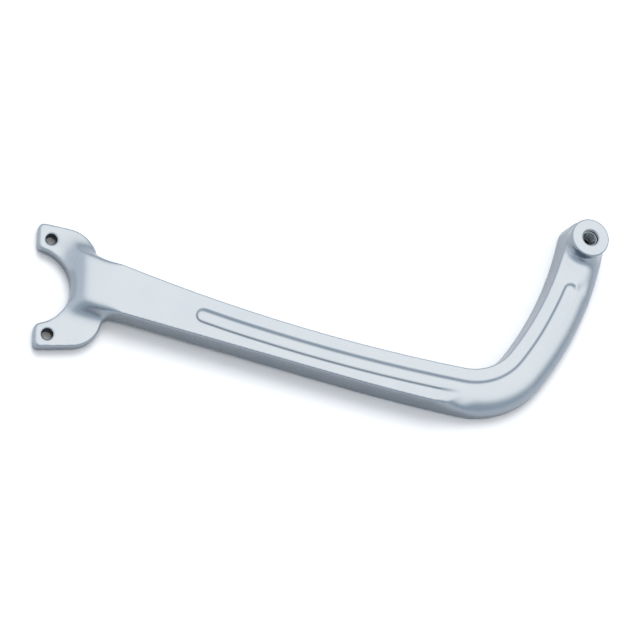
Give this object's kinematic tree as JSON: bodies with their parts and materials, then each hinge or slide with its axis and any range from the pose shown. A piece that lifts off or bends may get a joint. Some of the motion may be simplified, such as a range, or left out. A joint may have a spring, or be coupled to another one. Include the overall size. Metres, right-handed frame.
{
  "type": "heel shift lever",
  "caption": "One-piece heel shift lever: a flat fork bolts on, and a long grooved arm bends up to a boss with a threaded hole for the pedal peg.",
  "frame": {"origin": "midway between the two lug holes, on the back face of the lugs", "axes": "+Z along the lug holes towards the grooved front face, +X from the fork along the lever, +Y along the line of the two holes towards the side that the boss is on"},
  "size_m": [0.3036, 0.1114, 0.023],
  "materials": {
    "chrome": "bright chrome plate over a smooth casting, with soft satin reflections"
  },
  "bodies": {
    "root": {"heel_shift_lever": "chrome"}
  },
  "joints": []
}
